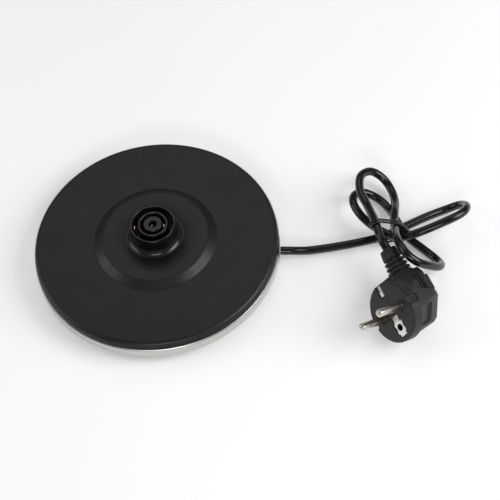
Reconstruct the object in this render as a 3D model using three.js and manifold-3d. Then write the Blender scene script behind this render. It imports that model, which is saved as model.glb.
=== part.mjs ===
// Cordless kettle power base with its mains lead and angled earthed plug.
// Millimetres, +Z up. The origin is the centre of the base on the surface it stands on,
// and the lead leaves the base along +X.
import * as THREE from 'three';
import { mergeVertices } from 'three/addons/utils/BufferGeometryUtils.js';
import Module from 'manifold-3d';

const wasm = await Module();
wasm.setup();

// ---------------------------------------------------------------- driving dimensions

const CLEARANCE = 0.3; // between any two pieces that touch or fit together
const ROUND = 72; // sides of the large turned pieces
const SMALL_ROUND = 24; // sides of screws, posts and pins

// heights of the base, from the surface up
const FOOT_PROUD = 1.2; // how far the feet stand below the bottom shell
const FLOOR_THICKNESS = 2;
const SHELL_CORNER = 4.2; // bevel of the shell's bottom edge
const TRIM_HEIGHT = 7.5;
const COVER_LIP_HEIGHT = 5.1; // cover edge, above the trim ring
const PLATEAU_RISE = 3.5;
const BOSS_RISE = 13; // connector rim above the plateau

// radii of the base
const COVER_RADIUS = 77;
const COVER_WALL = 2.2;
const COVER_EDGE_ROUND = 3;
const COVER_GROOVE_DEPTH = 0.8;
const TRIM_PROUD = 0.6; // trim ring outside the cover
const TRIM_THICKNESS = 0.8;
const TRIM_SHOULDER = 1; // inward bevel of the trim's top edge
const SHELL_WALL = 1.8;
const SHELL_OVERLAP = 2.5; // shell wall inside the cover
const PLATEAU_RADIUS = 33.3;
const PLATEAU_SLOPE = 5.4;

// 360 degree connector
const BOSS_RADIUS = 13.9;
const BOSS_FLARE = 4.3; // how far its foot spreads beyond the barrel
const BOSS_FLARE_HEIGHT = 5;
const BOSS_SEAT_DEPTH = 0.3; // shallow seat for the flare in the plateau
const BOSS_WALL = 1;
const INNER_RING_RADIUS = 9.3;
const INNER_RING_WALL = 1.3;
const HUB_RADIUS = 5.7;
const EARTH_HOLE_RADIUS = 2.5;
const SLOT_DEPTH = 10;
const SLOT_FLOOR = 2;
const BOSS_NECK_STEP = 2.4; // neck's outside beyond the barrel
const BOSS_NECK_WALL = 2;
const BOSS_NECK_DEPTH = 5.2; // below the plateau's top
const CARRIER_THICKNESS = 3;
const CARRIER_RADIUS = 27.5;
const CARRIER_PLUG_HEIGHT = 3.6;
const CARRIER_GAP = 0.5; // under the connector's neck

// contacts and terminals
const CONTACT_THICKNESS = 0.5;
const CONTACT_WIDTH = 3.4;
const CONTACT_BELOW_RIM = 2.5;
const CONTACT_TRAVEL = 1; // how far a contact's tip springs outward
const LIVE_CONTACT_ANGLE = 187; // degrees about the centre
const NEUTRAL_CONTACT_ANGLE = 5;
const EARTH_CONTACT_ANGLE = 150;
const EARTH_CONTACT_WIDTH = 2;
const TAB_WIDTH = 6.3;
const TAB_THICKNESS = 0.8;
const TAB_LENGTH = 6.4;
const RECEPTACLE_WIDTH = 7.6;
const RECEPTACLE_THICKNESS = 3.2;
const RECEPTACLE_HEIGHT = 7;
const WIRE_DIAMETER = 2.2;
const WIRE_SIDES = 8;
const WIRE_STEPS = 16;

// screws
const SCREW_SHANK = 3;
const SCREW_HEAD = 5.6;
const SCREW_HEAD_HEIGHT = 2;
const SCREW_GRIP = 2; // plastic between the head and the thread
const CASE_SCREWS = 4;
const CASE_SCREW_INSET = 22; // from the cover's edge
const CASE_SCREW_LENGTH = 8;
const CASE_SCREW_WELL = 3.8; // depth of the counterbore from below
const POST_WALL = 2.2;
const CARRIER_SCREWS = 3;
const CARRIER_SCREW_LENGTH = 6;
const CLAMP_SCREW_LENGTH = 8.5;

// feet
const FEET = 4;
const FOOT_DIAMETER = 12;
const FOOT_SUNK = 0.9; // how deep they sit in the shell
const FOOT_INSET = 13; // from the cover's edge

// outlet, lead and clamp
const CORD_DIAMETER = 5.4;
const CORD_SIDES = 10;
const CORD_STEPS = 80;
const OUTLET_HEIGHT = 7; // centre of the lead where it leaves
const OUTLET_WIDTH = 14;
const GROMMET_NECK_WIDTH = 10.4;
const GROMMET_NECK_HEIGHT = 7.6;
const GROMMET_SLEEVE = 12; // length of its tapered sleeve inside the shell
const GROMMET_SLEEVE_END_WIDTH = 8;
const GROMMET_TAB = 3.1; // its plate's foot, below the trim ring
const CLAMP_WIDTH = 7;
const CLAMP_SPAN = 17; // between its screws
const CLAMP_THICKNESS = 2.6;
const CLAMP_DISTANCE = 25; // from the cover's edge
const LEAD_INNER_END = 33; // from the cover's edge

// plug, in its own frame: +Z along the pins, +Y toward the earth pin's hole, origin on the face
const PLUG_POSITION = [147, -54.4, 23.9];
const PLUG_PIN_DIRECTION = [-0.711, -0.563, 0.421];
const PLUG_EARTH_DIRECTION = [0.486, -0.826, -0.284];
const PLUG_FACE_RADIUS = 18.7;
const PLUG_DISC_DEPTH = 7.5;
const PLUG_DEPTH = 29;
const PLUG_NECK_RADIUS = 17.5; // round back of the body, just behind the disc
const PLUG_BACK_RADIUS = 14.3; // where its back edge begins
const PLUG_BACK_EDGE = 3; // length of that edge's bevel
const PLUG_BACK_BEVEL = 1.8; // how far the bevel draws in
const PLUG_NECK_FLAT = 17; // half the body across its four slanted flats, behind the disc
const PLUG_BACK_FLAT = 10.2; // and at its back
const THUMB_RECESS_DEPTH = 1.6; // in the two flats on the earth hole's side
const THUMB_RECESS_WIDTH = 12.4;
const THUMB_RECESS = [9, 21]; // from and to behind the face
const PLUG_FRONT_HALF_WIDTH = 15; // shoulder, at the disc
const PLUG_BACK_HALF_WIDTH = 11;
const PLUG_SHOULDER = 19.5; // end of the body on the lead's side
const PLUG_SHOULDER_DEPTH = 5; // where the shoulder starts behind the face
const PLUG_SHOULDER_HALF_WIDTH = 8.8;
const PLUG_GRIP_HALF_WIDTH = 13.2;
const PLUG_GRIP = [-12.5, -2.5]; // finger grip, from and to along the earth direction
const PLUG_GRIP_THICKNESS = 5;
const PLUG_GROOVE_WIDTH = 5.4;
const PLUG_GROOVE_DEPTH = 2.6;
const PLUG_CORD_DEPTH = 22.6; // lead's axis behind the face
const PIN_DIAMETER = 4.8;
const PIN_SPACING = 19;
const PIN_LENGTH = 19;
const PIN_EMBEDDED = 8;
const EARTH_HOLE_OFFSET = 10;
const EARTH_HOLE_DIAMETER = 4.8;
const EARTH_HOLE_DEPTH = 16;
const EARTH_PLATE_WIDTH = 6.4;
const EARTH_PLATE_START = 3.4; // from the face's centre
const EARTH_PLATE_THICKNESS = 0.8;
const EARTH_LEG = 6; // side contact, down the disc's rim
const SIDE_CLIP_WIDTH = 3.4;
const SIDE_CLIP_LENGTH = 8;
const SIDE_CLIP_LEG = 3.4;
const RELIEF_LENGTH = 18.2;
const RELIEF_BASE_RADIUS = 7.2;
const RELIEF_TIP_RADIUS = 4.6;
const RELIEF_RIBS = 5;
const RELIEF_GROOVE_DEPTH = 1;

// tie: an oval wire ring round the bundle
const TIE_CENTRE = [146.5, 11.1, 16];
const TIE_DIRECTION = [0.43, -0.9, 0]; // along the strands that it holds
const TIE_TILT = 107; // degrees, its long axis above the level
const TIE_HALF_LENGTH = 13.4;
const TIE_HALF_WIDTH = 8.25;
const TIE_WIRE = 1.3;
const TIE_SIDES = 8;
const TIE_STEPS = 40;

// The lead's route from the outlet to the plug: straight out and down to the surface, out to
// the far loop, back under the tie to the rear loop, through to the near loop and over the
// plug's strain relief, back under the tie, up into the high loop, and down to the plug.
const CORD_ROUTE = [
  [77.9, 0, 7], [84, 0.2, 6.8], [97, 2.5, 4.2], [141, 14, 3], [156.5, 22.5, 3],
  [171, 30.3, 3.5], [183, 36, 3.5], [191, 36, 8.5], [194.5, 31, 14.5], [192, 23, 19],
  [182, 16, 19.5], [153, 9.5, 10], [142, 14, 9], [129.5, 22.5, 12.5], [123.5, 32.5, 13.5],
  [124, 41, 11], [130, 46, 7], [139, 44, 3.5], [146.5, 35.5, 3.5], [152, 21, 8.5],
  [156.5, 13.5, 6.5], [168.5, 4.5, 3], [175, -2, 3.5], [178, -9, 7.5], [175, -15.2, 14.5],
  [162, -19.8, 27.2], [156, -16.5, 30.5], [151.5, -8, 29.5], [149, 14.5, 17], [149.5, 26, 13.5],
  [150, 38, 8], [147.5, 49.5, 6], [142, 56.5, 9], [134.5, 57.5, 14.5], [128, 50.5, 19],
  [127.5, 38, 20.5], [132.5, 24.5, 22], [137, 9.5, 26.5], [140.7, -3.7, 27.4],
  [144.4, -10.05, 25.3],
];

// ---------------------------------------------------------------- heights and radii that follow

const shellBottom = FOOT_PROUD;
const floorTop = shellBottom + FLOOR_THICKNESS;
const cornerTop = shellBottom + Math.max(SHELL_CORNER, FLOOR_THICKNESS);
const trimBottom = cornerTop + CLEARANCE;
const trimTop = trimBottom + TRIM_HEIGHT;
const coverBottom = trimTop + CLEARANCE;
const coverTop = coverBottom + COVER_LIP_HEIGHT;
const coverUnderside = coverTop - COVER_WALL;
const plateauTop = coverTop + PLATEAU_RISE;
const bossTop = plateauTop + BOSS_RISE;
const trimRadius = COVER_RADIUS + TRIM_PROUD;
const coverInner = COVER_RADIUS - COVER_WALL;
const trimInner = trimRadius - TRIM_SHOULDER - TRIM_THICKNESS;
const shellWallOuter = Math.min(coverInner, trimInner) - CLEARANCE;
const shellWallInner = shellWallOuter - SHELL_WALL;
const shellWallTop = coverBottom + SHELL_OVERLAP;
const neckRadius = BOSS_RADIUS + BOSS_NECK_STEP;
const coverHole = neckRadius + CLEARANCE;
const flareRadius = BOSS_RADIUS + BOSS_FLARE;
const seatRadius = flareRadius + CLEARANCE;
const seatTop = plateauTop - BOSS_SEAT_DEPTH;

const slotFloorTop = bossTop - SLOT_DEPTH;
const slotFloorBottom = slotFloorTop - SLOT_FLOOR;
const neckBottom = plateauTop - BOSS_NECK_DEPTH;
const neckInner = neckRadius - BOSS_NECK_WALL;
const carrierTop = neckBottom - CARRIER_GAP;
const carrierBottom = carrierTop - CARRIER_THICKNESS;
const carrierPlugTop = carrierTop + CARRIER_PLUG_HEIGHT;
const carrierScrewCircle = (CARRIER_RADIUS + neckInner) / 2 + 2;

const shankHole = SCREW_SHANK / 2 + CLEARANCE;
const headHole = SCREW_HEAD / 2 + CLEARANCE;
const postRadius = shankHole + POST_WALL;
const caseWellTop = shellBottom + CASE_SCREW_WELL;
const caseBossTop = caseWellTop + SCREW_GRIP;
const caseScrewCircle = COVER_RADIUS - CASE_SCREW_INSET;
const footCircle = COVER_RADIUS - FOOT_INSET;

const leadHole = CORD_DIAMETER / 2 + CLEARANCE;
const clampX = COVER_RADIUS - CLAMP_DISTANCE;
const clampTop = OUTLET_HEIGHT + leadHole + CLAMP_THICKNESS;
const leadInnerX = COVER_RADIUS - LEAD_INNER_END;
const leadOuterX = trimRadius - CLEARANCE / 2;
const grommetBottom = trimBottom - GROMMET_TAB;

const contactBottom = carrierPlugTop + CLEARANCE;
const contactTop = bossTop - CONTACT_BELOW_RIM;
const liveContactRadius = BOSS_RADIUS - BOSS_WALL - CONTACT_TRAVEL - CONTACT_THICKNESS - CLEARANCE;
const neutralContactRadius =
  INNER_RING_RADIUS - INNER_RING_WALL - CONTACT_TRAVEL - CONTACT_THICKNESS - CLEARANCE;
const earthContactRadius = EARTH_HOLE_RADIUS - CONTACT_TRAVEL - CONTACT_THICKNESS - 2 * CLEARANCE;
const tabTop = carrierPlugTop - CLEARANCE;
const tabBottom = carrierBottom - TAB_LENGTH;
const receptacleTop = carrierBottom - 3 * CLEARANCE;

const degrees = (angle) => (angle * Math.PI) / 180;

// Each contact's inner face, width and direction from the base's centre.
const contacts = {
  live: { radius: liveContactRadius, width: CONTACT_WIDTH, angle: LIVE_CONTACT_ANGLE },
  neutral: { radius: neutralContactRadius, width: CONTACT_WIDTH, angle: NEUTRAL_CONTACT_ANGLE },
  earth: { radius: earthContactRadius, width: EARTH_CONTACT_WIDTH, angle: EARTH_CONTACT_ANGLE },
};

// A terminal tab stands under its contact.
function terminalPlace({ radius, angle }) {
  const middle = radius + CONTACT_THICKNESS / 2;
  return [middle * Math.cos(degrees(angle)), middle * Math.sin(degrees(angle))];
}

// ---------------------------------------------------------------- solids and booleans

// Turns a closed geometry into a manifold solid.
function solid(geometry) {
  const bare = geometry.clone();
  bare.deleteAttribute('normal');
  bare.deleteAttribute('uv');
  const merged = mergeVertices(bare, 1e-4);
  return new wasm.Manifold(
    new wasm.Mesh({
      numProp: 3,
      vertProperties: new Float32Array(merged.attributes.position.array),
      triVerts: new Uint32Array(merged.index.array),
    }),
  );
}

// Turns a manifold solid back into a geometry.
function geometryOf(manifold) {
  const mesh = manifold.getMesh();
  const geometry = new THREE.BufferGeometry();
  geometry.setAttribute('position', new THREE.BufferAttribute(mesh.vertProperties, 3));
  geometry.setIndex(new THREE.BufferAttribute(mesh.triVerts, 1));
  return geometry;
}

function join(...geometries) {
  return geometryOf(geometries.map(solid).reduce((a, b) => a.add(b)));
}

function cut(geometry, ...tools) {
  return geometryOf(tools.map(solid).reduce((a, b) => a.subtract(b), solid(geometry)));
}

function common(...geometries) {
  return geometryOf(geometries.map(solid).reduce((a, b) => a.intersect(b)));
}

// A solid of revolution about Z. The profile's [radius, height] points run counterclockwise.
function turned(profile, sides = ROUND) {
  const points = profile.map(([radius, height]) => new THREE.Vector2(radius, height));
  return new THREE.LatheGeometry(points, sides).rotateX(Math.PI / 2);
}

// A turned ring, whose profile closes on itself.
function turnedRing(profile, sides = ROUND) {
  return turned([...profile, profile[0]], sides);
}

// An upright cylinder between two heights.
function post(radius, bottom, top, x = 0, y = 0, sides = SMALL_ROUND) {
  const height = top - bottom;
  return new THREE.CylinderGeometry(radius, radius, height, sides)
    .rotateX(Math.PI / 2)
    .translate(x, y, bottom + height / 2);
}

// A box between two corners.
function block([x0, y0, z0], [x1, y1, z1]) {
  return new THREE.BoxGeometry(x1 - x0, y1 - y0, z1 - z0).translate(
    (x0 + x1) / 2,
    (y0 + y1) / 2,
    (z0 + z1) / 2,
  );
}

// A flat outline in X and Y, drawn up to a thickness.
function plate(outline, bottom, top) {
  const shape = new THREE.Shape(outline.map(([x, y]) => new THREE.Vector2(x, y)));
  const depth = top - bottom;
  return new THREE.ExtrudeGeometry(shape, { depth, bevelEnabled: false }).translate(0, 0, bottom);
}

// A round tube along a curve through the given points.
function tube(points, diameter, steps, sides) {
  const path = new THREE.CatmullRomCurve3(
    points.map((point) => new THREE.Vector3(...point)),
    false,
    'centripetal',
  );
  const outline = Array.from({ length: sides }, (_, i) => {
    const angle = (2 * Math.PI * i) / sides;
    return new THREE.Vector2(Math.cos(angle), Math.sin(angle)).multiplyScalar(diameter / 2);
  });
  const shape = new THREE.Shape(outline);
  return new THREE.ExtrudeGeometry(shape, { steps, bevelEnabled: false, extrudePath: path });
}

// Places evenly spaced round the base's centre.
function ringOf(count, radius, firstAngle) {
  return Array.from({ length: count }, (_, i) => {
    const angle = degrees(firstAngle + (360 * i) / count);
    return [radius * Math.cos(angle), radius * Math.sin(angle)];
  });
}

const feetPlaces = ringOf(FEET, footCircle, 0);
const caseScrewPlaces = ringOf(CASE_SCREWS, caseScrewCircle, 45);
const carrierScrewPlaces = ringOf(CARRIER_SCREWS, carrierScrewCircle, 90);
const clampScrewPlaces = [-1, 1].map((side) => [clampX, (side * CLAMP_SPAN) / 2]);

// ---------------------------------------------------------------- base casing

// A round bar along X at the lead's height.
function alongLead(radius, from, to, sides = SMALL_ROUND) {
  return new THREE.CylinderGeometry(radius, radius, to - from, sides)
    .rotateZ(Math.PI / 2)
    .translate((from + to) / 2, 0, OUTLET_HEIGHT);
}

// The lead's straight bore through the grommet, clamp and shell.
function leadBore() {
  return alongLead(leadHole, leadInnerX, trimRadius + 1);
}

// Black disc with a raised plateau, a seat for the connector, a rounded edge and a groove
// round its side wall.
function topCover() {
  const grooveTop = coverBottom + 0.38 * COVER_LIP_HEIGHT;
  const grooveBottom = coverBottom + 0.2 * COVER_LIP_HEIGHT;
  const grooveRadius = COVER_RADIUS - COVER_GROOVE_DEPTH;
  const plateauOffset = COVER_WALL / 3;
  const edge = [0, 30, 60, 90].map((angle) => [
    COVER_RADIUS - COVER_EDGE_ROUND * (1 - Math.cos(degrees(angle))),
    coverTop - COVER_EDGE_ROUND * (1 - Math.sin(degrees(angle))),
  ]);
  const disc = turnedRing([
    [coverHole, plateauTop - COVER_WALL],
    [PLATEAU_RADIUS - plateauOffset, plateauTop - COVER_WALL],
    [PLATEAU_RADIUS + PLATEAU_SLOPE - plateauOffset, coverUnderside],
    [coverInner, coverUnderside],
    [coverInner, coverBottom],
    [COVER_RADIUS - CLEARANCE, coverBottom],
    [COVER_RADIUS - CLEARANCE, grooveBottom],
    [grooveRadius, grooveBottom],
    [grooveRadius, grooveTop],
    ...edge,
    [PLATEAU_RADIUS + PLATEAU_SLOPE, coverTop],
    [PLATEAU_RADIUS, plateauTop],
    [seatRadius, plateauTop],
    [seatRadius, seatTop],
    [coverHole, seatTop],
  ]);
  const rooted = COVER_WALL / 2; // how far a post runs into the plate
  const casePosts = caseScrewPlaces.map(([x, y]) =>
    post(postRadius, caseBossTop + CLEARANCE, coverUnderside + rooted, x, y),
  );
  const caseHoles = caseScrewPlaces.map(([x, y]) =>
    post(shankHole, caseBossTop, caseWellTop + CASE_SCREW_LENGTH + CLEARANCE, x, y),
  );
  const carrierPosts = carrierScrewPlaces.map(([x, y]) =>
    post(postRadius, carrierTop + CLEARANCE, plateauTop - COVER_WALL + rooted, x, y),
  );
  const carrierHoles = carrierScrewPlaces.map(([x, y]) =>
    post(shankHole, carrierTop, carrierBottom + CARRIER_SCREW_LENGTH + CLEARANCE, x, y),
  );
  return cut(join(disc, ...casePosts, ...carrierPosts), ...caseHoles, ...carrierHoles);
}

// Stainless band round the side, bevelled in at its top, open at the lead's outlet.
function trimRing() {
  const inner = trimRadius - TRIM_THICKNESS;
  const band = turnedRing([
    [inner, trimBottom],
    [trimRadius, trimBottom],
    [trimRadius, trimTop - TRIM_SHOULDER],
    [trimRadius - TRIM_SHOULDER, trimTop],
    [trimInner, trimTop],
    [inner, trimTop - TRIM_SHOULDER - TRIM_THICKNESS / 2],
  ]);
  const gap = block(
    [trimInner / 2, -OUTLET_WIDTH / 2, trimBottom - 1],
    [trimRadius + 1, OUTLET_WIDTH / 2, trimTop + 1],
  );
  return cut(band, gap);
}

// Floor and inner wall of the base, with foot pockets, screw wells, clamp posts and the outlet.
function bottomShell() {
  const flangeRadius = trimRadius - TRIM_THICKNESS / 2;
  const dish = turned([
    [0, shellBottom],
    [flangeRadius - SHELL_CORNER, shellBottom],
    [flangeRadius, cornerTop - CLEARANCE],
    [flangeRadius, cornerTop],
    [shellWallOuter, cornerTop],
    [shellWallOuter, shellWallTop],
    [shellWallInner, shellWallTop],
    [shellWallInner, floorTop],
    [0, floorTop],
  ]);
  const rooted = FLOOR_THICKNESS / 2;
  const bosses = caseScrewPlaces.map(([x, y]) =>
    post(headHole + POST_WALL, floorTop - rooted, caseBossTop, x, y),
  );
  const wells = caseScrewPlaces.flatMap(([x, y]) => [
    post(headHole, shellBottom - 1, caseWellTop, x, y),
    post(shankHole, shellBottom, caseBossTop + 1, x, y),
  ]);
  const pockets = feetPlaces.map(([x, y]) =>
    post(FOOT_DIAMETER / 2 + CLEARANCE, shellBottom - 1, shellBottom + FOOT_SUNK + CLEARANCE, x, y),
  );
  const clampPosts = clampScrewPlaces.map(([x, y]) =>
    post(postRadius, floorTop - rooted, OUTLET_HEIGHT, x, y),
  );
  const clampHoles = clampScrewPlaces.map(([x, y]) =>
    post(shankHole, clampTop - CLAMP_SCREW_LENGTH, OUTLET_HEIGHT + 1, x, y),
  );
  const saddle = block(
    [clampX - CLAMP_WIDTH / 2, -leadHole - 1, floorTop - rooted],
    [clampX + CLAMP_WIDTH / 2, leadHole + 1, OUTLET_HEIGHT - 1],
  );
  const neckSlot = block(
    [shellWallInner - 2, -GROMMET_NECK_WIDTH / 2 - CLEARANCE, floorTop],
    [shellWallOuter + 1, GROMMET_NECK_WIDTH / 2 + CLEARANCE, shellWallTop + 1],
  );
  const flangeSlot = block(
    [shellWallOuter, -OUTLET_WIDTH / 2, shellBottom + 1],
    [trimRadius + 1, OUTLET_WIDTH / 2, cornerTop + 1],
  );
  return cut(
    join(dish, ...bosses, ...clampPosts, saddle),
    ...wells,
    ...pockets,
    ...clampHoles,
    neckSlot,
    flangeSlot,
    leadBore(),
  );
}

// Round pad with a bevelled lower edge.
function rubberFoot([x, y]) {
  const radius = FOOT_DIAMETER / 2;
  const bevel = FOOT_PROUD / 2;
  return turned(
    [
      [0, 0],
      [radius - bevel, 0],
      [radius, bevel],
      [radius, FOOT_PROUD + FOOT_SUNK],
      [0, FOOT_PROUD + FOOT_SUNK],
    ],
    SMALL_ROUND,
  ).translate(x, y, 0);
}

// Self tapping screw pointing up, its head's bearing face at the given height.
function screwUp([x, y], bearing, length) {
  const top = bearing - CLEARANCE;
  return turned(
    [
      [0, top - SCREW_HEAD_HEIGHT],
      [SCREW_HEAD / 2 - 0.6, top - SCREW_HEAD_HEIGHT],
      [SCREW_HEAD / 2, top - SCREW_HEAD_HEIGHT + 0.6],
      [SCREW_HEAD / 2, top],
      [SCREW_SHANK / 2, top],
      [SCREW_SHANK / 2, top + length - SCREW_SHANK / 2],
      [0, top + length],
    ],
    SMALL_ROUND,
  ).translate(x, y, 0);
}

// The same screw pointing down.
function screwDown([x, y], bearing, length) {
  return screwUp([x, -y], -bearing, length).rotateX(Math.PI);
}

// ---------------------------------------------------------------- connector

// Flared boss with two ring-shaped slots and a centre hole, on a neck through the cover.
function connectorHousing() {
  const flareBottom = seatTop + CLEARANCE;
  const flareTop = flareBottom + BOSS_FLARE_HEIGHT;
  const rimBevel = BOSS_WALL / 3;
  const flare = [12, 34, 56, 78].map((angle) => [
    flareRadius - BOSS_FLARE * Math.sin(degrees(angle)),
    flareTop - BOSS_FLARE_HEIGHT * Math.cos(degrees(angle)),
  ]);
  const body = turnedRing(
    [
      [neckInner, neckBottom],
      [neckRadius, neckBottom],
      [neckRadius, flareBottom],
      [flareRadius, flareBottom],
      ...flare,
      [BOSS_RADIUS, flareTop],
      [BOSS_RADIUS, bossTop - rimBevel],
      [BOSS_RADIUS - rimBevel, bossTop],
      [BOSS_RADIUS - BOSS_WALL, bossTop],
      [BOSS_RADIUS - BOSS_WALL, slotFloorTop],
      [INNER_RING_RADIUS, slotFloorTop],
      [INNER_RING_RADIUS, bossTop],
      [INNER_RING_RADIUS - INNER_RING_WALL, bossTop],
      [INNER_RING_RADIUS - INNER_RING_WALL, slotFloorTop],
      [HUB_RADIUS, slotFloorTop],
      [HUB_RADIUS, bossTop],
      [EARTH_HOLE_RADIUS, bossTop],
      [EARTH_HOLE_RADIUS, slotFloorBottom],
      [neckInner, slotFloorBottom],
    ],
    ROUND * (2 / 3),
  );
  const windows = [contacts.live, contacts.neutral].map(({ radius, width, angle }) =>
    block(
      [radius - 1.5 * CLEARANCE, -width / 2 - CLEARANCE, slotFloorBottom - 1],
      [
        radius + CONTACT_THICKNESS + CONTACT_TRAVEL / 2 + CLEARANCE,
        width / 2 + CLEARANCE,
        slotFloorTop + 1,
      ],
    ).rotateZ(degrees(angle)),
  );
  return cut(body, ...windows);
}

// Insulating plate under the connector, with slots for the terminal tabs and three screw holes.
function contactCarrier() {
  const body = turned(
    [
      [0, carrierBottom],
      [CARRIER_RADIUS, carrierBottom],
      [CARRIER_RADIUS, carrierTop],
      [neckInner - CLEARANCE, carrierTop],
      [neckInner - CLEARANCE, carrierPlugTop],
      [0, carrierPlugTop],
    ],
    ROUND * (2 / 3),
  );
  const slots = Object.values(contacts)
    .map(terminalPlace)
    .map(([x, y]) =>
    block(
      [x - TAB_THICKNESS / 2 - CLEARANCE, y - TAB_WIDTH / 2 - CLEARANCE, carrierBottom - 1],
      [x + TAB_THICKNESS / 2 + CLEARANCE, y + TAB_WIDTH / 2 + CLEARANCE, carrierPlugTop + 1],
    ),
    );
  const holes = carrierScrewPlaces.map(([x, y]) =>
    post(shankHole, carrierBottom - 1, carrierTop + 1, x, y),
  );
  return cut(body, ...slots, ...holes);
}

// Upright contact strip with a bent-over tip.
function contactStrip({ radius, width, angle }) {
  const tip = 2 * CONTACT_THICKNESS;
  const side = new THREE.Shape(
    [
      [radius, contactBottom],
      [radius + CONTACT_THICKNESS, contactBottom],
      [radius + CONTACT_THICKNESS, contactTop],
      [radius + CONTACT_THICKNESS / 2, contactTop],
      [radius - CONTACT_THICKNESS / 2, contactTop - tip],
      [radius, contactTop - 2 * tip],
    ].map(([x, z]) => new THREE.Vector2(x, z)),
  );
  return new THREE.ExtrudeGeometry(side, { depth: width, bevelEnabled: false })
    .translate(0, 0, -width / 2)
    .rotateX(Math.PI / 2)
    .rotateZ(degrees(angle));
}

// Terminal blade from the carrier's top down into its receptacle.
function terminalTab([x, y]) {
  return block(
    [x - TAB_THICKNESS / 2, y - TAB_WIDTH / 2, tabBottom],
    [x + TAB_THICKNESS / 2, y + TAB_WIDTH / 2, tabTop],
  );
}

// Push-on receptacle with a slot for the blade, open at its top.
function receptacle([x, y]) {
  const bottom = receptacleTop - RECEPTACLE_HEIGHT;
  const body = block(
    [x - RECEPTACLE_THICKNESS / 2, y - RECEPTACLE_WIDTH / 2, bottom],
    [x + RECEPTACLE_THICKNESS / 2, y + RECEPTACLE_WIDTH / 2, receptacleTop],
  );
  const slot = block(
    [
      x - TAB_THICKNESS / 2 - CLEARANCE,
      y - TAB_WIDTH / 2 - CLEARANCE,
      tabBottom - CLEARANCE,
    ],
    [x + TAB_THICKNESS / 2 + CLEARANCE, y + TAB_WIDTH / 2 + CLEARANCE, receptacleTop + 1],
  );
  return cut(body, slot);
}

// One core of the lead, from the lead's stripped end to a receptacle.
function wire(angle, ...points) {
  const offset = WIRE_DIAMETER / 1.5;
  const start = [
    leadInnerX - CLEARANCE,
    offset * Math.cos(degrees(angle)),
    OUTLET_HEIGHT + offset * Math.sin(degrees(angle)),
  ];
  return tube([start, ...points], WIRE_DIAMETER, WIRE_STEPS, WIRE_SIDES);
}

// The live core passes the other terminals on the -Y side.
function liveWire() {
  const [x, y] = terminalPlace(contacts.live);
  const end = y - RECEPTACLE_WIDTH / 2 - CLEARANCE;
  return wire(210, [34, -3, 6], [16, -8, 6], [-2, -10.5, 6.5], [x + 1, end - 4, 7.5], [x, end, 8]);
}

// The neutral core runs straight to the nearest terminal.
function neutralWire() {
  const [x, y] = terminalPlace(contacts.neutral);
  return wire(90, [30, 1, 7.5], [x + RECEPTACLE_THICKNESS / 2 + CLEARANCE, y, 8]);
}

// The earth core comes round on the +Y side.
function earthWire() {
  const [x, y] = terminalPlace(contacts.earth);
  const end = y + RECEPTACLE_WIDTH / 2 + CLEARANCE;
  return wire(330, [34, 3, 6], [16, 9, 6], [4, 11.5, 6.5], [x, end + 5, 7.5], [x, end, 8]);
}

// ---------------------------------------------------------------- lead outlet

// Soft plate in the trim ring's gap, with a tapered sleeve round the lead inside the shell.
function cordGrommet() {
  const innerRadius = shellWallOuter + CLEARANCE;
  const outerRadius = trimRadius - CLEARANCE / 2;
  const halfWidth = OUTLET_WIDTH / 2 - CLEARANCE;
  const sector = common(
    turnedRing([
      [innerRadius, grommetBottom],
      [outerRadius, grommetBottom],
      [outerRadius, trimTop],
      [innerRadius, trimTop],
    ]),
    block([1, -halfWidth, grommetBottom - 1], [trimRadius + 1, halfWidth, trimTop + 1]),
  );
  const halfNeck = GROMMET_NECK_WIDTH / 2;
  const halfEnd = GROMMET_SLEEVE_END_WIDTH / 2;
  const neckInside = shellWallInner - CLEARANCE;
  const sleeve = plate(
    [
      [neckInside - GROMMET_SLEEVE, -halfEnd],
      [neckInside, -halfNeck],
      [innerRadius + 1, -halfNeck],
      [innerRadius + 1, halfNeck],
      [neckInside, halfNeck],
      [neckInside - GROMMET_SLEEVE, halfEnd],
    ],
    floorTop + CLEARANCE,
    floorTop + CLEARANCE + GROMMET_NECK_HEIGHT,
  );
  return cut(join(sector, sleeve), leadBore());
}

// Bar with an arch over the lead, screwed down on two posts.
function cordClamp() {
  const bar = block(
    [clampX - CLAMP_WIDTH / 2, -CLAMP_SPAN / 2 - postRadius, OUTLET_HEIGHT + CLEARANCE],
    [clampX + CLAMP_WIDTH / 2, CLAMP_SPAN / 2 + postRadius, clampTop],
  );
  const holes = clampScrewPlaces.map(([x, y]) => post(shankHole, 0, clampTop + 1, x, y));
  return cut(bar, leadBore(), ...holes);
}

// ---------------------------------------------------------------- lead and tie

function powerCord() {
  return tube(CORD_ROUTE, CORD_DIAMETER, CORD_STEPS, CORD_SIDES);
}

// Wire ring of constant thickness on an oval, in the XY plane with its long axis along X.
function ovalRing(halfLength, halfWidth, diameter) {
  const ring = new THREE.TorusGeometry(halfLength, diameter / 2, TIE_SIDES, TIE_STEPS);
  const points = ring.attributes.position;
  for (let i = 0; i < points.count; i += 1) {
    const angle = Math.atan2(points.getY(i), points.getX(i));
    const outward = Math.hypot(points.getX(i), points.getY(i)) - halfLength;
    const normal = new THREE.Vector2(
      Math.cos(angle) / halfLength,
      Math.sin(angle) / halfWidth,
    ).normalize();
    points.setX(i, halfLength * Math.cos(angle) + outward * normal.x);
    points.setY(i, halfWidth * Math.sin(angle) + outward * normal.y);
  }
  return ring;
}

// The tie lies in the plane across the strands that it holds.
function cordTie() {
  const along = new THREE.Vector3(...TIE_DIRECTION).normalize();
  const up = new THREE.Vector3(0, 0, 1);
  const across = new THREE.Vector3().crossVectors(along, up);
  const frame = new THREE.Matrix4().makeBasis(across, up, along.clone().negate());
  return ovalRing(TIE_HALF_LENGTH, TIE_HALF_WIDTH, TIE_WIRE)
    .rotateZ(degrees(TIE_TILT))
    .applyMatrix4(frame)
    .translate(...TIE_CENTRE);
}

// ---------------------------------------------------------------- plug

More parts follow.
